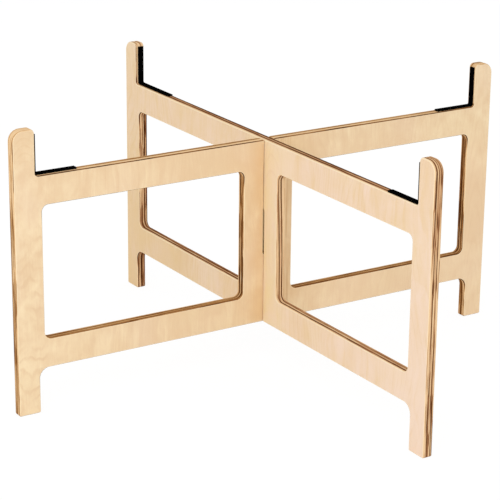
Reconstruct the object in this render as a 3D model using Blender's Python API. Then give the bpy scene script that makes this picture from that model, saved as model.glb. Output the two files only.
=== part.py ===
"""Knock-down stand for a table cajon.

Two plywood panels slot together crosswise and stand on their own four legs. Above the upper rails
each panel ends in two posts. The drum rests on the rails between the four posts, on black strips
stuck into the corners where rail and post meet.

The lower panel lies along X and its slot opens upwards. The upper panel lies along Y, its slot opens
downwards, and it lifts straight off along +Z. The origin is on the floor, under the crossing.
"""

import math

import bpy
from mathutils import Matrix, Vector

# Whole stand, in metres
STAND_HEIGHT = 0.500
PANEL_LENGTH = 0.990
PLY_THICKNESS = 0.018

# Heights above the floor and depths of the rails
RAIL_CLEARANCE = 0.080
LOWER_RAIL_DEPTH = 0.052
SEAT_HEIGHT = 0.420
UPPER_RAIL_DEPTH = 0.052

# Widths along the panel
LEG_WIDTH = 0.040
POST_WIDTH = 0.040
STILE_WIDTH = 0.051
WEB_WIDTH = 0.102

# Corners of the sawn outline, and the round-over on every edge
FOOT_RADIUS = 0.003
LEG_FILLET = 0.018
WINDOW_RADIUS = 0.012
SEAT_FILLET = 0.005
POST_OUTER_RADIUS = 0.020
POST_INNER_RADIUS = 0.008
EDGE_ROUND = 0.002

# Slots: each runs past the middle of the web, so both panels reach the floor
SLOT_CLEARANCE = 0.0005
SLOT_DEPTH = 0.212
SLOT_MOUTH_RADIUS = 0.003
SLOT_END_RADIUS = 0.004

# Pads: one strip each, bent from the rail up the post
PAD_WIDTH = 0.011
PAD_THICKNESS = 0.003
PAD_BEND_RADIUS = 0.006
PAD_END_RADIUS = 0.0005
PAD_GAP = 0.0003

# The strips are cut and stuck by hand, so each has its own length along the rail, its own length up
# the post, and its own shift off the middle of the ply (towards -Y on the lower panel, +X on the upper)
LEFT_PAD = {"rail": 0.078, "post": 0.070, "shift": -0.0005}
RIGHT_PAD = {"rail": 0.082, "post": 0.074, "shift": 0.0020}
FRONT_PAD = {"rail": 0.083, "post": 0.070, "shift": -0.0020}
REAR_PAD = {"rail": 0.115, "post": 0.074, "shift": 0.0010}

# Fineness of the curves
ARC_STEP = math.radians(10)
ROUND_OVER_STEPS = 2

BIRCH_FACE = (0.86, 0.66, 0.46)
FOAM_BLACK = (0.012, 0.012, 0.013)

PART_NAME = "cajon_stand"


def clear_scene():
    for obj in list(bpy.data.objects):
        bpy.data.objects.remove(obj, do_unlink=True)


def make_material(name, colour, roughness):
    material = bpy.data.materials.new(name)
    material.use_nodes = True
    shader = material.node_tree.nodes["Principled BSDF"]
    shader.inputs["Base Color"].default_value = (*colour, 1.0)
    shader.inputs["Roughness"].default_value = roughness
    shader.inputs["Metallic"].default_value = 0.0
    return material


def rounded_corner(before, corner, after, radius):
    """Points of the arc that rounds off one corner of an outline."""
    to_before = (before - corner).normalized()
    to_after = (after - corner).normalized()
    half_angle = to_before.angle(to_after) / 2
    setback = radius / math.tan(half_angle)
    start = corner + to_before * setback
    centre = corner + (to_before + to_after).normalized() * (radius / math.sin(half_angle))
    turn = math.copysign(math.pi - 2 * half_angle, to_after.cross(to_before))
    steps = max(2, math.ceil(abs(turn) / ARC_STEP))
    spoke = start - centre
    return [centre + Matrix.Rotation(turn * step / steps, 2) @ spoke for step in range(steps + 1)]


def rounded_outline(corners):
    """A closed outline from (x, height, radius) corners, with an arc at each one."""
    places = [Vector((x, height)) for x, height, _ in corners]
    points = []
    for index, (_, _, radius) in enumerate(corners):
        following = places[(index + 1) % len(places)]
        points += rounded_corner(places[index - 1], places[index], following, radius)
    return points


def mirrored(corners):
    """The same corners on the other side of the panel's middle, in the order that carries on."""
    return [(-x, height, radius) for x, height, radius in reversed(corners)]


def panel_outline(slot_opens_up):
    """The panel's outside, anticlockwise from the middle of its lower edge."""
    end = PANEL_LENGTH / 2
    leg_inside = end - LEG_WIDTH
    post_inside = end - POST_WIDTH
    slot_half = PLY_THICKNESS / 2 + SLOT_CLEARANCE
    right = [
        (leg_inside, RAIL_CLEARANCE, LEG_FILLET),
        (leg_inside, 0.0, FOOT_RADIUS),
        (end, 0.0, FOOT_RADIUS),
        (end, STAND_HEIGHT, POST_OUTER_RADIUS),
        (post_inside, STAND_HEIGHT, POST_INNER_RADIUS),
        (post_inside, SEAT_HEIGHT, SEAT_FILLET),
    ]
    if slot_opens_up:
        slot_end = SEAT_HEIGHT - SLOT_DEPTH
        slot = [
            (slot_half, SEAT_HEIGHT, SLOT_MOUTH_RADIUS),
            (slot_half, slot_end, SLOT_END_RADIUS),
        ]
        return right + slot + mirrored(slot) + mirrored(right)
    slot_end = RAIL_CLEARANCE + SLOT_DEPTH
    slot = [
        (-slot_half, RAIL_CLEARANCE, SLOT_MOUTH_RADIUS),
        (-slot_half, slot_end, SLOT_END_RADIUS),
    ]
    return slot + mirrored(slot) + right + mirrored(right)


def window_outline(side):
    """One window, clockwise, on the side where x has this sign."""
    inner = side * WEB_WIDTH / 2
    outer = side * (PANEL_LENGTH / 2 - STILE_WIDTH)
    low = RAIL_CLEARANCE + LOWER_RAIL_DEPTH
    high = SEAT_HEIGHT - UPPER_RAIL_DEPTH
    left, right = sorted((inner, outer))
    return [
        (left, low, WINDOW_RADIUS),
        (left, high, WINDOW_RADIUS),
        (right, high, WINDOW_RADIUS),
        (right, low, WINDOW_RADIUS),
    ]


def flat_shape(name, outlines, thickness, round_over, collection):
    """An upright plate: 2D outlines filled, given a thickness, with rounded edges."""
    curve = bpy.data.curves.new(name, "CURVE")
    curve.dimensions = "2D"
    curve.fill_mode = "BOTH"
    curve.extrude = thickness / 2 - round_over
    curve.bevel_depth = round_over
    curve.bevel_resolution = ROUND_OVER_STEPS - 1
    curve.offset = -round_over
    for points in outlines:
        spline = curve.splines.new("POLY")
        spline.points.add(len(points) - 1)
        for target, point in zip(spline.points, points):
            target.co = (point.x, point.y, 0.0, 1.0)
        spline.use_cyclic_u = True
    obj = bpy.data.objects.new(name, curve)
    collection.objects.link(obj)
    return obj


def make_panel(name, slot_opens_up, heading, material, collection):
    outlines = [rounded_outline(panel_outline(slot_opens_up))]
    outlines += [rounded_outline(window_outline(side)) for side in (1, -1)]
    panel = flat_shape(name, outlines, PLY_THICKNESS, EDGE_ROUND, collection)
    panel.rotation_euler = (math.pi / 2, 0.0, heading)
    panel.data.materials.append(material)
    return panel


def pad_outline(strip):
    """The bent strip from the side, with its post at x = 0 and its rail at height 0."""
    near = PAD_GAP
    far = PAD_GAP + PAD_THICKNESS
    return [
        (near, near, PAD_BEND_RADIUS),
        (strip["rail"], near, PAD_END_RADIUS),
        (strip["rail"], far, PAD_END_RADIUS),
        (far, far, PAD_BEND_RADIUS - PAD_THICKNESS),
        (far, strip["post"], PAD_END_RADIUS),
        (near, strip["post"], PAD_END_RADIUS),
    ]


def make_pad(name, panel, side, strip, material, collection):
    """The strip in one seat of a panel, on the side where the panel's own x has this sign."""
    outline = rounded_outline(pad_outline(strip))
    pad = flat_shape(name, [outline], PAD_WIDTH, 0.0, collection)
    pad.parent = panel
    pad.location = (side * (PANEL_LENGTH / 2 - POST_WIDTH), SEAT_HEIGHT, strip["shift"])
    if side > 0:
        pad.rotation_euler = (0.0, math.pi, 0.0)
    pad.data.materials.append(material)
    return pad


def main():
    clear_scene()
    collection = bpy.data.collections.new(PART_NAME)
    bpy.context.scene.collection.children.link(collection)
    birch = make_material("birch_plywood", BIRCH_FACE, 0.45)
    foam = make_material("black_foam", FOAM_BLACK, 0.85)
    lower = make_panel("lower_panel", True, 0.0, birch, collection)
    upper = make_panel("upper_panel", False, math.pi / 2, birch, collection)
    make_pad("left_seat_pad", lower, -1, LEFT_PAD, foam, collection)
    make_pad("right_seat_pad", lower, 1, RIGHT_PAD, foam, collection)
    make_pad("front_seat_pad", upper, -1, FRONT_PAD, foam, collection)
    make_pad("rear_seat_pad", upper, 1, REAR_PAD, foam, collection)


main()
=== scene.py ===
"""Looks of a knock-down drum stand: crossed birch plywood panels with black foam strips.

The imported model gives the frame. Both panels are drawn again with finer round-overs, and each
strip is swept along the corner that it is stuck into.
"""

import math

import bpy
from bpy.props import FloatProperty, FloatVectorProperty, IntProperty, PointerProperty
from mathutils import Matrix, Vector


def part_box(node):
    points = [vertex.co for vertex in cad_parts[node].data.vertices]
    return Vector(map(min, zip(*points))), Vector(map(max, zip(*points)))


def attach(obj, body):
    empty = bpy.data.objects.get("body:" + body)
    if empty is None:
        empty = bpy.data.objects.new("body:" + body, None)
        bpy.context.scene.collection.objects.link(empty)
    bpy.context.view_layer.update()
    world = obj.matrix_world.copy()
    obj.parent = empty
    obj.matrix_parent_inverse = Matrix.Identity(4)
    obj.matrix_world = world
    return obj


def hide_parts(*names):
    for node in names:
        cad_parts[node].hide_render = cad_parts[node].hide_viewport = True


bl_info = {
    "name": "Cajon stand",
    "version": (1, 0, 0),
    "blender": (4, 5, 0),
    "location": "3D View > Sidebar > Stand",
    "description": "Draws the plywood panels and foam strips of a knock-down drum stand",
    "category": "Object",
}

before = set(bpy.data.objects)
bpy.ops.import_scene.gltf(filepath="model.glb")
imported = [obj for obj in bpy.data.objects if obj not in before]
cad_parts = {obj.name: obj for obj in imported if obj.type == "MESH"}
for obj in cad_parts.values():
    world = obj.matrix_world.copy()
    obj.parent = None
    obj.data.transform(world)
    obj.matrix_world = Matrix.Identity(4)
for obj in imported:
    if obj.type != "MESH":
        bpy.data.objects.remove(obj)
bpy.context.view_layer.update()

# What the frame fixes: the panels' outside sizes and the side of each strip
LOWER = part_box("lower_panel")
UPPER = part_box("upper_panel")
PANEL_LENGTH = LOWER[1][0] - LOWER[0][0]
PLY_THICKNESS = LOWER[1][1] - LOWER[0][1]
STAND_HEIGHT = LOWER[1][2]

# The camera, from the straight edges of the photograph
CAMERA_PLACE = (-1.8052, -2.7935, 1.3388)
CAMERA_TURN = (71.275, -0.608, -32.208)
CAMERA_LENS = 141.06
SENSOR_WIDTH = 36.0

ARC_STEP = math.radians(4)


# Sizes and colours


def length(name, default, description):
    return FloatProperty(name=name, description=description, default=default, min=0.0, unit="LENGTH")


def colour(name, default, description):
    return FloatVectorProperty(
        name=name, description=description, default=default, size=3, min=0.0, max=1.0, subtype="COLOR"
    )


class STAND_PG_panel(bpy.types.PropertyGroup):
    rail_clearance: length("Under the rail", 0.080, "Height of the lower rail above the floor")
    lower_rail: length("Lower rail", 0.052, "Depth of the lower rail")
    seat_height: length("Seat height", 0.420, "Height of the upper rail's top edge")
    upper_rail: length("Upper rail", 0.052, "Depth of the upper rail")
    leg_width: length("Leg", 0.040, "Width of a leg along the panel")
    post_width: length("Post", 0.040, "Width of a post along the panel")
    stile_width: length("Stile", 0.051, "Width of the upright beside a window")
    web_width: length("Web", 0.102, "Width of the upright at the crossing")
    foot_radius: length("Foot corner", 0.003, "Radius at the bottom of a leg")
    leg_fillet: length("Leg fillet", 0.018, "Radius between a leg and the lower rail")
    window_radius: length("Window corner", 0.012, "Radius at a window's corner")
    seat_fillet: length("Seat fillet", 0.005, "Radius between the upper rail and a post")
    post_outer: length("Post outside", 0.020, "Radius at the top of a post, outside")
    post_inner: length("Post inside", 0.008, "Radius at the top of a post, inside")
    edge_round: length("Round-over", 0.002, "Radius of the round-over on every edge")
    slot_clearance: length("Slot clearance", 0.0005, "Gap on each side of the ply in a slot")
    slot_depth: length("Slot depth", 0.212, "Depth of a slot from its rail's edge")
    slot_mouth: length("Slot mouth", 0.003, "Radius at the mouth of a slot")
    slot_end: length("Slot end", 0.004, "Radius at the inner corners of a slot")
    round_steps: IntProperty(
        name="Round-over steps", description="Faces across a round-over", default=5, min=2, max=12
    )


class STAND_PG_strip(bpy.types.PropertyGroup):
    bend: length("Bend", 0.0058, "Radius of the strip where it turns up the post")
    edge: length("Edge", 0.0006, "Radius of the strip's long edges")
    gap: length("Glue", 0.0003, "Glue under the strip")


class STAND_PG_finish(bpy.types.PropertyGroup):
    lower_pale: colour("Lower face, pale", (0.955, 0.768, 0.503), "Pale grain of the lower panel")
    lower_tan: colour("Lower face, tan", (0.832, 0.610, 0.382), "Tan grain of the lower panel")
    upper_pale: colour("Upper face, pale", (0.900, 0.700, 0.550), "Pale grain of the upper panel")
    upper_tan: colour("Upper face, tan", (0.815, 0.588, 0.335), "Tan grain of the upper panel")
    # Painted bounce light and shade where the panels cross: warmer and darker on the lower panel, yellower on the
    # upper
    lower_crossing_bounce: colour("Lower face, amber", (0.790, 0.530, 0.270), "Warmer wood at the crossing")
    upper_crossing_bounce: colour("Upper face, amber", (0.890, 0.745, 0.400), "Yellower wood at the crossing")
    olive: colour("Face, olive", (0.860, 0.680, 0.400), "Yellower patches")
    rosy: colour("Face, rosy", (0.860, 0.650, 0.480), "Pinker patches")
    warm: colour("Face, warm", (0.920, 0.665, 0.425), "Warmer wood low down on the right")
    # Pale cream for the round-over: sanded wood, and a painted highlight along the face's edges
    sanded_highlight: colour("Round-over", (0.980, 0.830, 0.570), "Wood sanded at the face's edges")
    edge_light: colour("Edge, light", (0.880, 0.614, 0.350), "Ply cut along its grain")
    lower_edge_tan: colour("Lower edge, tan", (0.583, 0.323, 0.130), "Ply between light and brown")
    lower_edge_brown: colour("Lower edge, brown", (0.262, 0.104, 0.028), "Ply cut across its grain")
    upper_edge_tan: colour("Upper edge, tan", (0.582, 0.320, 0.155), "Ply between light and brown")
    upper_edge_brown: colour("Upper edge, brown", (0.260, 0.102, 0.040), "Ply cut across its grain")
    edge_dark: colour("Edge, dark", (0.085, 0.028, 0.008), "Dark plies and glue lines")
    foam: colour("Foam", (0.0013, 0.0013, 0.0014), "Closed-cell foam")


class STAND_PG_stage(bpy.types.PropertyGroup):
    floor_size: length("Floor", 24.0, "Side of the floor")
    shadow: FloatProperty(name="Shadow", description="Share of the shadow seen", default=0.12, min=0.0, max=1.0)
    daylight: FloatProperty(name="Daylight", description="Strength of the room's light", default=0.80, min=0.0)
    key_power: FloatProperty(name="Key", description="Power of the large lamp", default=34.0, min=0.0)
    key_size: length("Key size", 2.4, "Side of the large lamp")


# Shader maths


class Field:
    """A socket that takes part in sums."""

    def __init__(self, graph, socket):
        self.graph = graph
        self.socket = socket

    def __add__(self, other):
        return self.graph.maths("ADD", self, other)

    def __sub__(self, other):
        return self.graph.maths("SUBTRACT", self, other)

    def __mul__(self, other):
        return self.graph.maths("MULTIPLY", self, other)

    def __truediv__(self, other):
        return self.graph.maths("DIVIDE", self, other)

    def __rsub__(self, other):
        return self.graph.maths("SUBTRACT", other, self)

    def __rtruediv__(self, other):
        return self.graph.maths("DIVIDE", other, self)

    def __abs__(self):
        return self.graph.maths("ABSOLUTE", self)

    __radd__ = __add__
    __rmul__ = __mul__

    def fraction(self):
        return self.graph.maths("FRACT", self)

    def whole(self):
        return self.graph.maths("FLOOR", self)

    def rise(self, low, high):
        """0 below low, 1 above high, smooth between."""
        node = self.graph.add(
            "ShaderNodeMapRange",
            {"interpolation_type": "SMOOTHSTEP"},
            {"Value": self, "From Min": low, "From Max": high},
        )
        return Field(self.graph, node.outputs["Result"])


class Graph:
    """The nodes of one material."""

    def __init__(self, name):
        self.material = bpy.data.materials.new(name)
        self.material.use_nodes = True
        self.tree = self.material.node_tree
        self.shader = self.tree.nodes["Principled BSDF"]

    def add(self, kind, settings=None, sockets=None):
        node = self.tree.nodes.new(kind)
        for key, value in (settings or {}).items():
            setattr(node, key, value)
        for key, value in (sockets or {}).items():
            self.give(node.inputs[key], value)
        return node

    def give(self, socket, value):
        if isinstance(value, Field):
            self.tree.links.new(value.socket, socket)
        else:
            socket.default_value = value

    def maths(self, operation, *values):
        node = self.add("ShaderNodeMath", {"operation": operation}, dict(enumerate(values)))
        return Field(self, node.outputs[0])

    def place(self):
        """The x, y and z of the point on the object."""
        source = self.add("ShaderNodeTexCoord").outputs["Object"]
        node = self.add("ShaderNodeSeparateXYZ", None, {0: Field(self, source)})
        return [Field(self, socket) for socket in node.outputs]

    def stored(self, name):
        """A number kept on the mesh."""
        return Field(self, self.add("ShaderNodeAttribute", {"attribute_name": name}).outputs["Fac"])

    def vector(self, x, y, z):
        node = self.add("ShaderNodeCombineXYZ", None, {0: x, 1: y, 2: z})
        return Field(self, node.outputs[0])

    def noise(self, x, y, z, detail=2.0, roughness=0.5):
        node = self.add(
            "ShaderNodeTexNoise",
            None,
            {"Vector": self.vector(x, y, z), "Scale": 1.0, "Detail": detail, "Roughness": roughness},
        )
        return Field(self, node.outputs[0])

    def ramp(self, field, stops, interpolation="LINEAR"):
        """stops are (place, colour) pairs, in order."""
        node = self.add("ShaderNodeValToRGB", None, {0: field})
        elements = node.color_ramp.elements
        node.color_ramp.interpolation = interpolation
        for extra in range(len(stops) - 2):
            elements.new(0.5)
        for element, (place, tint) in zip(elements, stops):
            element.position = place
            element.color = (*tint, 1.0)
        return Field(self, node.outputs[0])

    def mix(self, share, first, second):
        settings = {"data_type": "RGBA"}
        node = self.add("ShaderNodeMix", settings, {0: share, 6: rgba(first), 7: rgba(second)})
        return Field(self, node.outputs[2])

    def grey(self, tint):
        return Field(self, self.add("ShaderNodeRGBToBW", None, {0: tint}).outputs[0])

    def bump(self, height, strength, distance):
        sockets = {"Height": height, "Strength": strength, "Distance": distance}
        node = self.add("ShaderNodeBump", None, sockets)
        return Field(self, node.outputs[0])


def rgba(tint):
    return tint if isinstance(tint, Field) else (*tint, 1.0)


# Birch plywood

# How brown the sawn edge shows at each place: depth from the near face in millimetres, then tone,
# 0 for light and 1 for dark. Then, along the panel, how tan the face is, how much painted bounce light
# and shade of the crossing it takes, and how its tan grows with height at the panel's middle and from
# end to end. "bare" is where the round-over turns from the face's colour to the edge's, on upright edges,
# at the sill and at the seat
LOWER_BIRCH = {
    "end": (
        (0, 0.12), (1.5, 0.15), (3, 0.24), (4.5, 0.42), (6, 0.62), (8, 0.68), (10, 0.58), (12, 0.50),
        (14, 0.50), (16, 0.70), (18, 0.85),
    ),
    "foot": (
        (0, 0.12), (1.5, 0.20), (3, 0.38), (5, 0.44), (8, 0.42), (10, 0.48), (12, 0.54), (14, 0.50),
        (16, 0.62), (18, 0.75),
    ),
    "crown": ((0, 0.30), (1, 0.25), (2.5, 0.05), (4.5, 0.03), (6, 0.15), (8, 0.25), (12, 0.05), (18, 0.05)),
    "far_crown": (
        (0, 0.10), (4.8, 0.06), (6.2, 0.62), (7.6, 0.40), (9, 0.0), (10.4, 0.10), (11.8, 0.62), (13.2, 0.80),
        (14.6, 0.30), (18, 0.30),
    ),
    "stile": (
        (0, 0.60), (1.5, 0.40), (3, 0.70), (4.5, 1.05), (6, 1.12), (7.5, 0.76), (9, 0.64),
        (10.5, 1.05), (12, 1.25), (13.5, 1.20), (15, 0.62), (18, 0.10),
    ),
    "web": (
        (0, 0.20), (1.5, 0.30), (3, 0.68), (4.5, 1.04), (6, 0.88), (7.5, 0.32), (9, 0.34),
        (10.5, 0.84), (12, 1.22), (13.5, 1.02), (15, 0.35), (18, 0.0),
    ),
    "leg": (
        (0, 0.26), (1.5, 0.28), (4, 0.22), (6, 0.74), (7.5, 1.12), (9, 1.05), (10.5, 0.60),
        (12, 0.42), (14, 0.38), (16, 0.42), (18, 0.40),
    ),
    "post": ((0, 0.0), (3.5, 0.05), (18, 0.20)),
    "seat": (
        (0, 0.84), (0.9, 0.72), (1.8, 0.30), (3, 0.03), (6, 0.0), (7.5, 0.18), (9, 0.42),
        (11, 0.60), (13, 0.57), (15, 0.33), (18, 0.12),
    ),
    "sill": (
        (0, 0.55), (2, 0.76), (3.5, 0.73), (5, 0.54), (7, 0.36), (8.5, 0.48), (10, 0.66), (12, 0.74),
        (13.5, 0.56), (15, 0.24), (18, 0.05),
    ),
    "right_sill": (0.12, -0.20),
    "bare": (0.84, 0.92, 0.985),
    "tan": (
        (0.0, 0.52), (0.10, 0.57), (0.20, 0.60), (0.27, 0.78), (0.34, 0.80), (0.55, 0.65), (0.65, 0.58),
        (0.80, 0.66), (0.90, 0.66), (0.95, 0.50), (1.0, 0.50),
    ),
    "crossing_bounce": (
        (0.0, 0.0), (0.40, 0.05), (0.457, 0.16), (0.48, 0.38), (0.52, 0.40), (0.55, 0.26),
        (0.60, 0.10), (0.66, 0.0),
    ),
    "height": (0.3, -0.5),
    "hearts": (
        (-0.475, 0.42, 80.0, 37.0, 0.05), (0.472, -0.05, 17.0, 260.0, 0.22), (0.385, 0.30, 26.0, 180.0, 0.22),
        (0.330, -0.05, 24.0, 220.0, 0.22),
    ),
    "stripes": ((0.50, 0.0), (0.515, 1.0), (0.54, 0.9), (0.553, 0.3), (0.556, 0.0)),
    "contrast": 1.0,
    "straight": ((0.0, 0.25), (0.10, 0.35), (0.20, 1.0), (0.38, 1.0), (0.50, 0.50), (0.80, 0.50), (1.0, 0.30)),
    "curl": 1.0,
    "patch": (0.47, 0.215, 0.52),
    "warmth": 0.40,
    "web_edge": (1.0, 0.0, 0.0),
    "seed": 2.0,
}
UPPER_BIRCH = {
    "end": (
        (0, 0.0), (3, 0.02), (4.8, 0.42), (6.2, 1.10), (7.6, 0.32), (9, 0.0), (10.4, 0.32), (11.8, 1.0),
        (13.2, 0.50), (14.6, 0.20), (16, 0.05), (18, 0.25),
    ),
    "foot": (
        (0, 0.0), (3, 0.05), (4.8, 0.45), (6.2, 1.0), (7.6, 0.55), (9, 0.10), (10.4, 0.25), (11.8, 0.60),
        (13.2, 0.50), (16, 0.60), (18, 0.65),
    ),
    "crown": (
        (0, 0.0), (2.1, 0.02), (3.4, 0.95), (4.9, 0.90), (6.2, 0.0), (7.6, 0.34), (9, 0.50), (10.4, 0.46),
        (13.2, 0.40), (15.9, 0.28), (18, 0.15),
    ),
    "far_crown": (
        (0, 0.02), (2, 0.04), (3.4, 0.80), (4.9, 0.45), (6.2, 0.0), (8.9, 0.02), (10.4, 0.80), (11.8, 0.40),
        (13.2, 0.0), (15.9, 0.05), (17.3, 0.60), (18, 0.60),
    ),
    "stile": (
        (0, 0.75), (1.2, 0.50), (2.6, 0.20), (4.6, 0.30), (5.8, 0.80), (7.2, 0.75), (8.3, 0.10), (9.3, 0.25),
        (10.0, 1.20), (12, 1.15), (13, 0.50), (14.3, 0.30), (15.3, 0.50), (16.5, 0.95), (18, 1.05),
    ),
    "web": (
        (0, 0.0), (2, 0.10), (4.8, 0.12), (6.2, 0.40), (7.6, 0.95), (9, 0.20), (10.4, 0.08), (11.8, 0.72),
        (13.2, 0.98), (14.5, 0.20), (16, 0.0), (18, 0.0),
    ),
    "leg": (
        (0, 0.30), (0.7, 0.10), (1.4, 0.05), (2.1, 0.30), (3.4, 0.62), (4.9, 0.46), (6.2, 0.30), (7.6, 0.34),
        (9, 0.66), (10.4, 0.86), (13.2, 0.76), (14.5, 0.45), (18, 0.40),
    ),
    "post": ((0, 0.72), (1, 0.66), (2.1, 0.06), (3.5, 0.0), (18, 0.06)),
    "seat": (
        (0, 0.0), (2.5, 0.02), (3.8, 0.22), (4.6, 0.60), (6.5, 1.0), (8, 0.85), (9.5, 0.45),
        (11, 0.38), (12.3, 0.65), (13.8, 1.05), (15, 1.15), (18, 0.85),
    ),
    "sill": (
        (0, 0.10), (2.3, 0.18), (3.6, 0.50), (4.8, 1.0), (6.2, 0.80), (7.4, 0.26), (9, 0.10),
        (10.5, 0.48), (12, 0.72), (13.5, 0.54), (15, 0.40), (18, 0.32),
    ),
    "right_sill": (-0.02, 0.26),
    "bare": (0.85, 0.45, 0.45),
    "tan": (
        (0.0, 0.30), (0.20, 0.34), (0.33, 0.40), (0.40, 0.36), (0.455, 0.18), (0.52, 0.20), (0.55, 0.48),
        (0.70, 0.57), (1.0, 0.68),
    ),
    "crossing_bounce": (
        (0.0, 0.0), (0.38, 0.03), (0.44, 0.30), (0.46, 0.38), (0.48, 0.44), (0.52, 0.40), (0.56, 0.06),
        (1.0, 0.06),
    ),
    "height": (-0.2, -1.9),
    "hearts": ((-0.035, 0.33, 38.0, 37.0, 0.05),),
    "stripes": ((0.0, 0.0), (1.0, 0.0)),
    "contrast": 0.80,
    "straight": ((0.0, 1.0), (1.0, 1.0)),
    "curl": 0.0,
    "patch": (0.185, 0.105, -0.26),
    "warmth": 0.0,
    "web_edge": (0.2, 0.26, 0.6),
    "seed": 61.0,
}
PLIES = 13


def blend(share, first, second):
    return share * (second - first) + first


def growth_ring(field, fade=0.05):
    """A line that comes in slowly and ends within the fade, where the field passes a whole number."""
    share = field.fraction()
    return share.rise(0.67 - fade, 0.98 - fade) * (1.0 - share.rise(1.0 - fade, 1.0))


def along_tone(graph, place, stops):
    """The number at this share of the panel's length."""
    return graph.grey(graph.ramp(place, [(at, (share,) * 3) for at, share in stops]))


def grain(graph, along, up, birch):
    """Upright grain of rotary-cut veneer, as a tone around 0: negative is pale and positive tan."""
    seed = birch["seed"]
    straight = along_tone(graph, along / PANEL_LENGTH + 0.5, birch["straight"])
    wander = graph.noise(along * 18.0, up * 8.0, seed, 2.0) - 0.5
    contour = graph.noise(along * 6.5, up * 1.8, seed + 2.0, 1.0)
    near = graph.noise(along * 9.0, up * 6.0, seed + 5.0, 2.0).rise(0.40, 0.62)
    broad = growth_ring(contour * 9.0 + along * 16.0 + wander) * near
    narrow = growth_ring(contour * 22.0 + along * 100.0 + wander * 1.6) * (1.0 - near)

    # Arches where the veneer cuts through the heart of the log
    arches = 0.0
    for centre, foot, number, steepness, fade in birch["hearts"]:
        off = along - centre
        heart = growth_ring((up + off * off * steepness) * number + wander * 1.5, fade)
        heart = heart * (1.0 - abs(off).rise(0.012, 0.034)) * up.rise(foot, foot + 0.04)
        arches = arches + heart * (1.1 - fade * 2.0)

    # Curls near the left end, where the veneer skims along the rings
    curly = (0.0 - along).rise(0.41, 0.46) * (1.0 - up.rise(0.28, 0.38)) * birch["curl"]
    waves = graph.noise(along * 44.0, up * 14.0, seed + 31.0, 1.0) * 2.6 + wander
    patchy = graph.noise(along * 20.0, up * 9.0, seed + 33.0, 1.0).rise(0.36, 0.58)
    curls = growth_ring(up * 44.0 + waves, 0.22) * patchy * curly

    blotches = graph.noise(along * 30.0 + wander * 2.0, up * 17.0, seed + 3.0, 3.0, 0.6) - 0.5
    streaks = graph.noise(along * 150.0 + wander * 9.0, up * 6.0, seed + 7.0, 2.0) - 0.5
    flecks = graph.noise(along * 80.0, up * 50.0, seed + 37.0, 2.0) - 0.5
    lines = graph.noise(along * 700.0, up * 16.0, seed + 11.0, 2.0) - 0.5
    cloud = graph.noise(along * 6.0, up * 5.0, seed + 17.0, 2.0) - 0.5
    tone = (broad * 0.20 + narrow * 0.20 + streaks * 0.8) * straight
    tone = tone + blotches * (1.6 - straight * 0.6) + flecks * (1.0 - straight) * 0.9
    tone = tone + lines * 0.4 + cloud * 0.5 + curls * 0.32
    centre, height, more = birch["patch"]
    patch = (1.0 - abs(along - centre).rise(0.02, 0.07)) * (1.0 - abs(up - height).rise(0.04, 0.10))
    contrast = birch["contrast"]
    rings = (narrow * straight + arches * 1.4 + curls * 0.8) * contrast
    return tone * contrast + patch * more, rings, blotches, streaks, lines


def ply_tone(graph, depth, stops):
    """The tone at this share of the thickness, from stops in millimetres."""
    thickness = PLY_THICKNESS * 1000.0
    return graph.grey(graph.ramp(depth, [(place / thickness, (tone,) * 3) for place, tone in stops]))


def edge_stack(graph, along, depth, up, level, birch):
    """The plies' tones, as they show at each part of the outline."""
    sizes = bpy.context.scene.stand_panel
    tone = {
        part: ply_tone(graph, depth, birch[part])
        for part in ("end", "foot", "crown", "far_crown", "stile", "web", "leg", "post", "seat", "sill")
    }
    side = abs(along)
    outer = side.rise(PANEL_LENGTH / 2 - 0.022, PANEL_LENGTH / 2 - 0.012)
    in_post = up.rise(sizes.seat_height + 0.004, sizes.seat_height + 0.008)
    in_leg = 1.0 - up.rise(sizes.rail_clearance, sizes.rail_clearance + 0.006)
    crown = blend(along.rise(-0.1, 0.1), tone["crown"], tone["far_crown"])
    upright = blend(side.rise(0.20, 0.24), tone["web"], tone["stile"])
    upright = blend(in_leg, upright, tone["leg"])
    upright = blend(in_post, upright, tone["post"])
    end = blend(up.rise(0.06, 0.12), tone["foot"], tone["end"])
    upright = blend(outer, upright, blend(up.rise(0.34, 0.38), end, crown))
    more, deeper = birch["right_sill"]
    sill = tone["sill"] + along.rise(-0.02, 0.02) * (depth * deeper + more)
    flat = blend(up.rise(0.24, 0.26), sill, tone["seat"])
    flat = blend(in_post, flat, crown)
    return blend(level, upright, flat)


def shaded_corners(along, up, level, web_corner_shade):
    """1 in the upper corners of the windows, between leg and rail, and half where the rail meets a post: painted
    shade on the near ply there.
    """
    sizes = bpy.context.scene.stand_panel
    under_seat = sizes.seat_height - sizes.upper_rail
    window = up.rise(under_seat - 0.040, under_seat - 0.008) * (1.0 - up.rise(under_seat + 0.004, under_seat + 0.012))
    window = window * blend(abs(along).rise(0.20, 0.24), web_corner_shade, 1.0)
    fillet = up.rise(sizes.rail_clearance - 0.045, sizes.rail_clearance - 0.012)
    fillet = fillet * (1.0 - up.rise(sizes.rail_clearance + 0.002, sizes.rail_clearance + 0.008))
    inner = 1.0 - abs(along).rise(PANEL_LENGTH / 2 - 0.022, PANEL_LENGTH / 2 - 0.012)
    seat = up.rise(sizes.seat_height, sizes.seat_height + 0.004)
    seat = seat * (1.0 - up.rise(sizes.seat_height + 0.010, sizes.seat_height + 0.020))
    return (window + fillet + seat * 0.5) * (1.0 - level.rise(0.60, 0.95)) * inner


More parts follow.
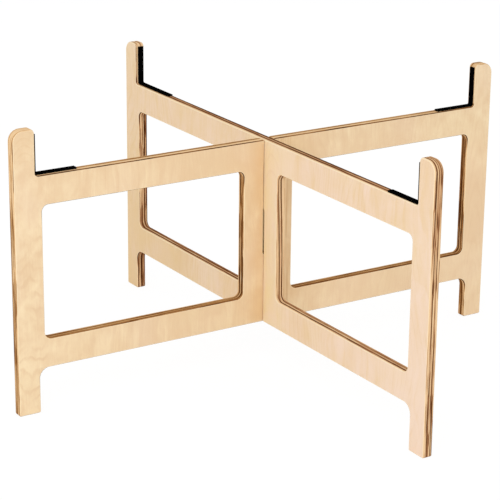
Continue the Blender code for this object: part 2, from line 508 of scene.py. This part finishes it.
def ply_edge(graph, along, across, up, level, birch, tan, brown):
    """The sawn edge: plies that wander, dark strokes that start and stop, streaks and glue lines."""
    colours = bpy.context.scene.stand_finish
    seed = birch["seed"]
    web_corner_shade, bow, calm = birch["web_edge"]
    corner = shaded_corners(along, up, level, web_corner_shade)
    on_web = (1.0 - abs(along).rise(0.20, 0.24)) * (1.0 - level)
    sway = graph.noise(along * 6.0, up * 6.0, seed, 1.0) - 0.5
    wobble = graph.noise(along * 26.0, up * 26.0, across * 60.0 + seed, 2.0) - 0.5
    depth = across / PLY_THICKNESS + 0.5 + sway * 0.10 + wobble * 0.05
    depth = depth + up.rise(0.18, 0.38) * on_web * bow
    ply = (depth * float(PLIES)).whole()
    stack = edge_stack(graph, along, (ply + 0.5) / float(PLIES), up, level, birch)
    turn = ((ply * 0.5).fraction() * 4.0 - 1.0) * (1.0 - level * 2.0)
    groups = graph.noise(along * 6.0, up * 6.0, depth * 7.0 + seed, 1.0).rise(0.42, 0.58) - 0.5
    strokes = graph.noise(along * 13.0, up * 13.0, ply * 5.3 + seed, 1.0).rise(0.47, 0.55) - 0.5
    streaks = graph.noise(along * 45.0, up * 45.0, across * 900.0, 2.0) - 0.5
    specks = graph.noise(along * 420.0, up * 420.0, across * 900.0, 2.0) - 0.5
    seam = abs((depth * float(PLIES)).fraction() - 0.5).rise(0.40, 0.48)
    seam = seam * graph.noise(along * 30.0, up * 30.0, ply * 7.7, 1.0).rise(0.42, 0.55)

    loose = groups * (0.46 - level * 0.32) + strokes * (0.50 - level * 0.26)
    shade = stack + turn * 0.06 + loose * (1.0 - on_web * calm)
    shade = shade + streaks * 0.35 + specks * 0.15 + seam * 0.20
    # Painted shade on the near ply in those corners, with a painted light line on the plies behind it
    shade = shade + corner * (0.9 - depth.rise(0.07, 0.15) * 1.3 + depth.rise(0.22, 0.30) * 0.4)
    stops = [(0.02, colours.edge_light), (0.36, tan), (0.68, brown), (1.0, colours.edge_dark)]
    return graph.ramp(shade, stops), specks, seam


def plywood(side, birch):
    """Birch plywood for the "lower" or the "upper" panel."""
    colours = bpy.context.scene.stand_finish
    sizes = bpy.context.scene.stand_panel
    own = {part: getattr(colours, f"{side}_{part}") for part in ("pale", "tan", "crossing_bounce", "edge_tan", "edge_brown")}
    is_lower = side == "lower"
    graph = Graph("birch_" + side)
    x, y, up = graph.place()
    along, across = (x, y) if is_lower else (y, x)

    tone, rings, blotches, streaks, lines = grain(graph, along, up, birch)
    place = along / PANEL_LENGTH + 0.5
    tan_here = along_tone(graph, place, birch["tan"])
    warm_here = along.rise(0.05, 0.20) * (1.0 - up.rise(0.30, 0.42)) * birch["warmth"]
    crossing_bounce_here = along_tone(graph, place, birch["crossing_bounce"])
    middle, change = birch["height"]
    higher = (up - STAND_HEIGHT / 2) * (along * change + middle)
    face = graph.mix((tone + tan_here + higher).rise(0.0, 1.0), own["pale"], own["tan"])
    hue = graph.noise(along * 9.0, up * 7.0, birch["seed"] + 41.0, 1.0)
    face = graph.mix(hue.rise(0.50, 0.75) * 0.25, face, colours.olive)
    face = graph.mix((1.0 - hue.rise(0.25, 0.50)) * 0.3, face, colours.rosy)
    face = graph.mix(warm_here, face, colours.warm)
    # Painted bounce light and shade from the other panel, near the crossing
    face = graph.mix(crossing_bounce_here * (1.0 + blotches * 2.4), face, own["crossing_bounce"])
    face = graph.mix(rings * 0.07, face, own["edge_tan"])
    stripes_here = along_tone(graph, place, birch["stripes"])
    stripes = graph.noise(along * 330.0, up * 5.0, birch["seed"] + 29.0, 1.0).rise(0.50, 0.62)
    face = graph.mix(stripes_here * stripes * 0.42, face, own["edge_tan"])
    pores = graph.noise(along * 1500.0, up * 110.0, birch["seed"] + 23.0, 1.0).rise(0.64, 0.76)
    face = graph.mix(pores * 0.15, face, own["edge_tan"])

    # 0 where the round-over meets the sawn edge, 1 where it meets the face
    over = (abs(across) - PLY_THICKNESS / 2 + sizes.edge_round) / sizes.edge_round
    # Sanded wood and painted highlight: the round-over turns toward the pale cream near the face
    sanded_highlight = over.rise(0.30, 0.60) * (1.0 - over.rise(0.985, 0.9999))
    face = graph.mix(sanded_highlight * 0.6, face, colours.sanded_highlight)

    level = graph.stored("level_edge")
    edge, specks, seam = ply_edge(graph, along, across, up, level, birch, own["edge_tan"], own["edge_brown"])
    upright_bare, sill_bare, seat_bare = birch["bare"]
    on_sill = level * up.rise(0.12, 0.13) * (1.0 - up.rise(0.24, 0.26))
    on_seat = level * up.rise(0.39, 0.41)
    bare = blend(on_seat, blend(on_sill, upright_bare, sill_bare), seat_bare)
    # Painted shade in the corners: the edge's colour starts nearer the face there
    bare = bare + shaded_corners(along, up, level, birch["web_edge"][0]) * (0.92 - upright_bare)
    bare = blend((on_sill + on_seat) * across.rise(-0.001, 0.001), bare, 0.985)
    inside = 1.0 - (over - bare).rise(-0.03, 0.01)
    tint = graph.mix(inside, face, edge)
    # Painted shade in the joint: within about 1.6 mm of a slot's wall the colour goes toward the edge's tan; where
    # both slots are cut it goes to the pale cream instead, painted light in the open gap
    slot_edge = PLY_THICKNESS / 2 + sizes.slot_clearance
    lower_end = sizes.seat_height - sizes.slot_depth
    upper_end = sizes.rail_clearance + sizes.slot_depth
    above = up.rise(lower_end, lower_end + 0.001)
    below = 1.0 - up.rise(upper_end - 0.001, upper_end)
    joint_painted_tint = graph.mix(above * below, own["edge_tan"], colours.sanded_highlight)
    joint_painted_share = (above if is_lower else below) * (1.0 - abs(along).rise(slot_edge + 0.0004, slot_edge + 0.0016))
    tint = graph.mix(joint_painted_share * 0.85, tint, joint_painted_tint)

    graph.give(graph.shader.inputs["Base Color"], tint)
    graph.give(graph.shader.inputs["Roughness"], 0.46 + lines * 0.10 + inside * 0.16)
    graph.give(graph.shader.inputs["Coat Weight"], (1.0 - inside) * 0.15)
    graph.shader.inputs["Coat Roughness"].default_value = 0.45
    graph.shader.inputs["Specular IOR Level"].default_value = 0.0
    relief = lines * 0.5 + streaks * 0.3 + specks * inside * 0.8 - seam * inside * 0.8
    graph.give(graph.shader.inputs["Normal"], graph.bump(relief, 0.25, 0.0002))
    return graph.material


# Panels


def rounded_corner(before, corner, after, radius):
    """Points of the arc that rounds off one corner of an outline."""
    to_before = (before - corner).normalized()
    to_after = (after - corner).normalized()
    half_angle = to_before.angle(to_after) / 2
    setback = radius / math.tan(half_angle)
    start = corner + to_before * setback
    centre = corner + (to_before + to_after).normalized() * (radius / math.sin(half_angle))
    turn = math.copysign(math.pi - 2 * half_angle, to_after.cross(to_before))
    steps = max(3, math.ceil(abs(turn) / ARC_STEP))
    spoke = start - centre
    return [centre + Matrix.Rotation(turn * step / steps, 2) @ spoke for step in range(steps + 1)]


def rounded_outline(corners):
    """A closed outline from (x, height, radius) corners, with an arc at each one."""
    places = [Vector((x, height)) for x, height, _ in corners]
    points = []
    for index, (_, _, radius) in enumerate(corners):
        following = places[(index + 1) % len(places)]
        points += rounded_corner(places[index - 1], places[index], following, radius)
    return points


def mirrored(corners):
    """The same corners on the other side of the panel's middle, in the order that carries on."""
    return [(-x, height, radius) for x, height, radius in reversed(corners)]


def panel_outline(sizes, slot_opens_up):
    """The panel's outside, anticlockwise from the middle of its lower edge."""
    end = PANEL_LENGTH / 2
    slot_half = PLY_THICKNESS / 2 + sizes.slot_clearance
    right = [
        (end - sizes.leg_width, sizes.rail_clearance, sizes.leg_fillet),
        (end - sizes.leg_width, 0.0, sizes.foot_radius),
        (end, 0.0, sizes.foot_radius),
        (end, STAND_HEIGHT, sizes.post_outer),
        (end - sizes.post_width, STAND_HEIGHT, sizes.post_inner),
        (end - sizes.post_width, sizes.seat_height, sizes.seat_fillet),
    ]
    if slot_opens_up:
        slot = [
            (slot_half, sizes.seat_height, sizes.slot_mouth),
            (slot_half, sizes.seat_height - sizes.slot_depth, sizes.slot_end),
        ]
        return right + slot + mirrored(slot) + mirrored(right)
    slot = [
        (-slot_half, sizes.rail_clearance, sizes.slot_mouth),
        (-slot_half, sizes.rail_clearance + sizes.slot_depth, sizes.slot_end),
    ]
    return slot + mirrored(slot) + right + mirrored(right)


def window_outline(sizes, side):
    """One window, clockwise, on the side where x has this sign."""
    edges = (side * sizes.web_width / 2, side * (PANEL_LENGTH / 2 - sizes.stile_width))
    left, right = sorted(edges)
    low = sizes.rail_clearance + sizes.lower_rail
    high = sizes.seat_height - sizes.upper_rail
    radius = sizes.window_radius
    return [(left, low, radius), (left, high, radius), (right, high, radius), (right, low, radius)]


def settled(obj, name):
    """The object as a plain mesh with its place in its mesh."""
    depsgraph = bpy.context.evaluated_depsgraph_get()
    mesh = bpy.data.meshes.new_from_object(obj.evaluated_get(depsgraph), depsgraph=depsgraph)
    mesh.transform(obj.matrix_world)
    mesh.name = name
    piece = bpy.data.objects.new(name, mesh)
    bpy.context.scene.collection.objects.link(piece)
    bpy.data.objects.remove(obj, do_unlink=True)
    return piece


def mark_level_edges(mesh):
    """Keep on each vertex how level the sawn edge beside it is: 0 upright, 1 level."""
    low = Vector([min(vertex.co[axis] for vertex in mesh.vertices) for axis in range(3)])
    high = Vector([max(vertex.co[axis] for vertex in mesh.vertices) for axis in range(3)])
    run = Vector((1, 0, 0)) if (high - low).x > (high - low).y else Vector((0, 1, 0))
    level = [0.0] * len(mesh.vertices)
    total = [0.0] * len(mesh.vertices)
    for polygon in mesh.polygons:
        facing_up = abs(polygon.normal.z)
        facing_end = abs(polygon.normal.dot(run))
        if facing_up + facing_end < 0.01:
            continue
        for index in polygon.vertices:
            level[index] += facing_up * polygon.area
            total[index] += (facing_up + facing_end) * polygon.area
    shares = [part / whole if whole else 0.0 for part, whole in zip(level, total)]
    mesh.attributes.new("level_edge", "FLOAT", "POINT").data.foreach_set("value", shares)


def draw_panel(name, node, slot_opens_up, heading, material):
    sizes = bpy.context.scene.stand_panel
    outlines = [rounded_outline(panel_outline(sizes, slot_opens_up))]
    outlines += [rounded_outline(window_outline(sizes, side)) for side in (1, -1)]
    curve = bpy.data.curves.new(name, "CURVE")
    curve.dimensions = "2D"
    curve.fill_mode = "BOTH"
    curve.extrude = PLY_THICKNESS / 2 - sizes.edge_round
    curve.bevel_depth = sizes.edge_round
    curve.bevel_resolution = sizes.round_steps - 1
    curve.offset = -sizes.edge_round
    for points in outlines:
        spline = curve.splines.new("POLY")
        spline.points.add(len(points) - 1)
        for target, point in zip(spline.points, points):
            target.co = (point.x, point.y, 0.0, 1.0)
        spline.use_cyclic_u = True
    drawn = bpy.data.objects.new(name + "_outline", curve)
    bpy.context.scene.collection.objects.link(drawn)
    drawn.rotation_euler = (math.pi / 2, 0.0, heading)
    bpy.context.view_layer.update()
    panel = settled(drawn, name)
    panel.data.shade_smooth()
    mark_level_edges(panel.data)
    even = panel.modifiers.new("even_faces", "WEIGHTED_NORMAL")
    even.mode = "FACE_AREA"
    panel = settled(panel, name)
    panel.data.materials.clear()
    panel.data.materials.append(material)
    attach(panel, node)
    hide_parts(node)
    return panel


class STAND_OT_panels(bpy.types.Operator):
    """Draw both plywood panels"""

    bl_idname = "stand.panels"
    bl_label = "Panels"

    def execute(self, context):
        draw_panel("lower_birch_panel", "lower_panel", True, 0.0, plywood("lower", LOWER_BIRCH))
        draw_panel("upper_birch_panel", "upper_panel", False, math.pi / 2, plywood("upper", UPPER_BIRCH))
        return {"FINISHED"}


# Foam strips


def foam():
    colours = bpy.context.scene.stand_finish
    graph = Graph("black_cell_foam")
    x, y, z = graph.place()
    cells = graph.noise(x * 2600.0, y * 2600.0, z * 2600.0, 2.0, 0.6)
    scuffs = graph.noise(x * 90.0, y * 90.0, z * 90.0, 3.0)
    dusty = tuple(value * 1.8 for value in colours.foam)
    graph.give(graph.shader.inputs["Base Color"], graph.mix(scuffs.rise(0.45, 0.75), colours.foam, dusty))
    graph.give(graph.shader.inputs["Roughness"], 0.78 + (scuffs - 0.5) * 0.2)
    graph.shader.inputs["Specular IOR Level"].default_value = 0.0
    graph.give(graph.shader.inputs["Normal"], graph.bump(cells, 0.4, 0.0002))
    return graph.material


def strip_tree():
    """Sweeps a flat section with rounded edges along a path."""
    tree = bpy.data.node_groups.new("foam_strip", "GeometryNodeTree")
    face = tree.interface
    face.new_socket("Path", in_out="INPUT", socket_type="NodeSocketGeometry")
    for name in ("Width", "Thickness", "Edge radius"):
        face.new_socket(name, in_out="INPUT", socket_type="NodeSocketFloat")
    face.new_socket("Foam", in_out="INPUT", socket_type="NodeSocketMaterial")
    face.new_socket("Strip", in_out="OUTPUT", socket_type="NodeSocketGeometry")
    nodes = tree.nodes
    link = tree.links.new
    given = nodes.new("NodeGroupInput")
    section = nodes.new("GeometryNodeCurvePrimitiveQuadrilateral")
    rounded = nodes.new("GeometryNodeFilletCurve")
    rounded.mode = "POLY"
    sweep = nodes.new("GeometryNodeCurveToMesh")
    real = nodes.new("GeometryNodeRealizeInstances")
    coat = nodes.new("GeometryNodeSetMaterial")
    result = nodes.new("NodeGroupOutput")
    link(given.outputs["Width"], section.inputs["Width"])
    link(given.outputs["Thickness"], section.inputs["Height"])
    link(section.outputs[0], rounded.inputs["Curve"])
    link(given.outputs["Edge radius"], rounded.inputs["Radius"])
    rounded.inputs["Count"].default_value = 4
    link(given.outputs["Path"], sweep.inputs["Curve"])
    link(rounded.outputs[0], sweep.inputs["Profile Curve"])
    sweep.inputs["Fill Caps"].default_value = True
    link(sweep.outputs[0], real.inputs[0])
    link(real.outputs[0], coat.inputs["Geometry"])
    link(given.outputs["Foam"], coat.inputs["Material"])
    link(coat.outputs[0], result.inputs["Strip"])
    return tree


def strip_path(sizes, middle, out, rail, post, thickness):
    """Points of the strip's middle line: from its end on the rail, round the bend, up the post.

    middle is where the rail's top and the post's face meet, out points from there along the rail.
    """
    up = Vector((0.0, 0.0, 1.0))
    lift = sizes.gap + thickness / 2
    radius = sizes.bend - thickness / 2
    corner = middle + out * lift + up * lift
    centre = corner + (out + up) * radius
    points = [middle + out * rail + up * lift]
    steps = 10
    for step in range(steps + 1):
        angle = math.pi / 2 * step / steps
        points.append(centre - up * (radius * math.cos(angle)) - out * (radius * math.sin(angle)))
    points.append(middle + out * lift + up * post)
    return points


def draw_strip(node, body, out, tree, material):
    sizes = bpy.context.scene.stand_strip
    panel = bpy.context.scene.stand_panel
    low, high = (Vector(corner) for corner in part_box(node))
    inner = PANEL_LENGTH / 2 - panel.post_width
    across = Vector((abs(out.y), abs(out.x), 0.0))
    shift = across.dot(low + high) / 2
    width = across.dot(high - low)
    middle = -out * inner + across * shift + Vector((0.0, 0.0, panel.seat_height))
    rail = max(abs(out.dot(low) + inner), abs(out.dot(high) + inner))
    post = high.z - panel.seat_height
    thickness = 0.003
    points = strip_path(sizes, middle, out, rail, post, thickness)
    curve = bpy.data.curves.new(node + "_path", "CURVE")
    curve.dimensions = "3D"
    spline = curve.splines.new("POLY")
    spline.points.add(len(points) - 1)
    for target, point in zip(spline.points, points):
        target.co = (*point, 1.0)
    drawn = bpy.data.objects.new(node + "_path", curve)
    bpy.context.scene.collection.objects.link(drawn)
    sweep = drawn.modifiers.new("sweep", "NODES")
    sweep.node_group = tree
    sockets = {item.name: item.identifier for item in tree.interface.items_tree if item.item_type == "SOCKET"}
    sweep[sockets["Width"]] = width
    sweep[sockets["Thickness"]] = thickness
    sweep[sockets["Edge radius"]] = sizes.edge
    sweep[sockets["Foam"]] = material
    bpy.context.view_layer.update()
    strip = settled(drawn, node.replace("seat_pad", "foam_strip"))
    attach(strip, body)
    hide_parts(node)
    return strip


class STAND_OT_strips(bpy.types.Operator):
    """Sweep the four foam strips"""

    bl_idname = "stand.strips"
    bl_label = "Foam strips"

    def execute(self, context):
        tree = strip_tree()
        material = foam()
        draw_strip("left_seat_pad", "lower_panel", Vector((1, 0, 0)), tree, material)
        draw_strip("right_seat_pad", "lower_panel", Vector((-1, 0, 0)), tree, material)
        draw_strip("front_seat_pad", "upper_panel", Vector((0, 1, 0)), tree, material)
        draw_strip("rear_seat_pad", "upper_panel", Vector((0, -1, 0)), tree, material)
        return {"FINISHED"}


# Stage


def eye_share(tree, rays):
    """1 for the named kinds of ray, 0 for the rays that light the object."""
    path = tree.nodes.new("ShaderNodeLightPath")
    share = path.outputs[rays[0]]
    for ray in rays[1:]:
        larger = tree.nodes.new("ShaderNodeMath")
        larger.operation = "MAXIMUM"
        tree.links.new(share, larger.inputs[0])
        tree.links.new(path.outputs[ray], larger.inputs[1])
        share = larger.outputs[0]
    return share


EYE_RAYS = ("Is Camera Ray", "Is Glossy Ray", "Is Transmission Ray")


def white_world(world, daylight):
    """White to the eye, and this strong on the object."""
    world.use_nodes = True
    tree = world.node_tree
    background = tree.nodes["Background"]
    background.inputs["Color"].default_value = (1.0, 1.0, 1.0, 1.0)
    level = tree.nodes.new("ShaderNodeMix")
    tree.links.new(eye_share(tree, EYE_RAYS), level.inputs[0])
    level.inputs[2].default_value = daylight
    level.inputs[3].default_value = 1.0
    tree.links.new(level.outputs[0], background.inputs["Strength"])


def white_floor(shadow):
    """A white floor that shows this share of the shadows on it."""
    graph = Graph("floor_white")
    tree = graph.tree
    graph.shader.inputs["Base Color"].default_value = (1.0, 1.0, 1.0, 1.0)
    graph.shader.inputs["Roughness"].default_value = 0.9
    graph.shader.inputs["Specular IOR Level"].default_value = 0.0
    glow = tree.nodes.new("ShaderNodeEmission")
    glow.inputs["Strength"].default_value = 1.03
    mixed = tree.nodes.new("ShaderNodeMixShader")
    faded = graph.maths("MULTIPLY", Field(graph, eye_share(tree, EYE_RAYS)), 1.0 - shadow)
    graph.give(mixed.inputs[0], faded)
    tree.links.new(graph.shader.outputs[0], mixed.inputs[1])
    tree.links.new(glow.outputs[0], mixed.inputs[2])
    tree.links.new(mixed.outputs[0], tree.nodes["Material Output"].inputs["Surface"])
    return graph.material


class STAND_OT_stage(bpy.types.Operator):
    """Set the floor, the light and the camera"""

    bl_idname = "stand.stage"
    bl_label = "Stage"

    def execute(self, context):
        scene = context.scene
        settings = scene.stand_stage
        half = settings.floor_size / 2
        mesh = bpy.data.meshes.new("floor")
        corners = [(-half, -half, 0), (half, -half, 0), (half, half, 0), (-half, half, 0)]
        mesh.from_pydata(corners, [], [(0, 1, 2, 3)])
        floor = bpy.data.objects.new("floor", mesh)
        scene.collection.objects.link(floor)
        mesh.materials.append(white_floor(settings.shadow))

        scene.world = bpy.data.worlds.new("white_room")
        white_world(scene.world, settings.daylight)

        lamp = bpy.data.lights.new("key", "AREA")
        lamp.energy = settings.key_power
        lamp.size = settings.key_size
        key = bpy.data.objects.new("key", lamp)
        key.location = (-2.3, -2.2, 2.2)
        key.rotation_euler = (Vector((0, 0, 0.25)) - key.location).to_track_quat("-Z", "Y").to_euler()
        scene.collection.objects.link(key)

        camera = bpy.data.objects.new("camera", bpy.data.cameras.new("camera"))
        camera.location = CAMERA_PLACE
        camera.rotation_euler = [math.radians(turn) for turn in CAMERA_TURN]
        camera.data.lens = CAMERA_LENS
        camera.data.sensor_width = SENSOR_WIDTH
        camera.data.clip_end = 100.0
        scene.collection.objects.link(camera)
        scene.camera = camera
        scene.view_settings.view_transform = "Standard"
        return {"FINISHED"}


class STAND_PT_sidebar(bpy.types.Panel):
    """Buttons for each part of the stand"""

    bl_idname = "STAND_PT_sidebar"
    bl_label = "Stand"
    bl_space_type = "VIEW_3D"
    bl_region_type = "UI"
    bl_category = "Stand"

    def draw(self, context):
        for name in OPERATORS:
            self.layout.operator("stand." + name)


OPERATORS = ("panels", "strips", "stage")
SETTINGS = {
    "stand_panel": STAND_PG_panel,
    "stand_strip": STAND_PG_strip,
    "stand_finish": STAND_PG_finish,
    "stand_stage": STAND_PG_stage,
}
CLASSES = (*SETTINGS.values(), STAND_OT_panels, STAND_OT_strips, STAND_OT_stage, STAND_PT_sidebar)


def register():
    for kind in CLASSES:
        bpy.utils.register_class(kind)
    for name, kind in SETTINGS.items():
        setattr(bpy.types.Scene, name, PointerProperty(type=kind))


def unregister():
    for name in SETTINGS:
        delattr(bpy.types.Scene, name)
    for kind in reversed(CLASSES):
        bpy.utils.unregister_class(kind)


def main():
    register()
    for name in OPERATORS:
        getattr(bpy.ops.stand, name)()


if __name__ == "__main__":
    main()
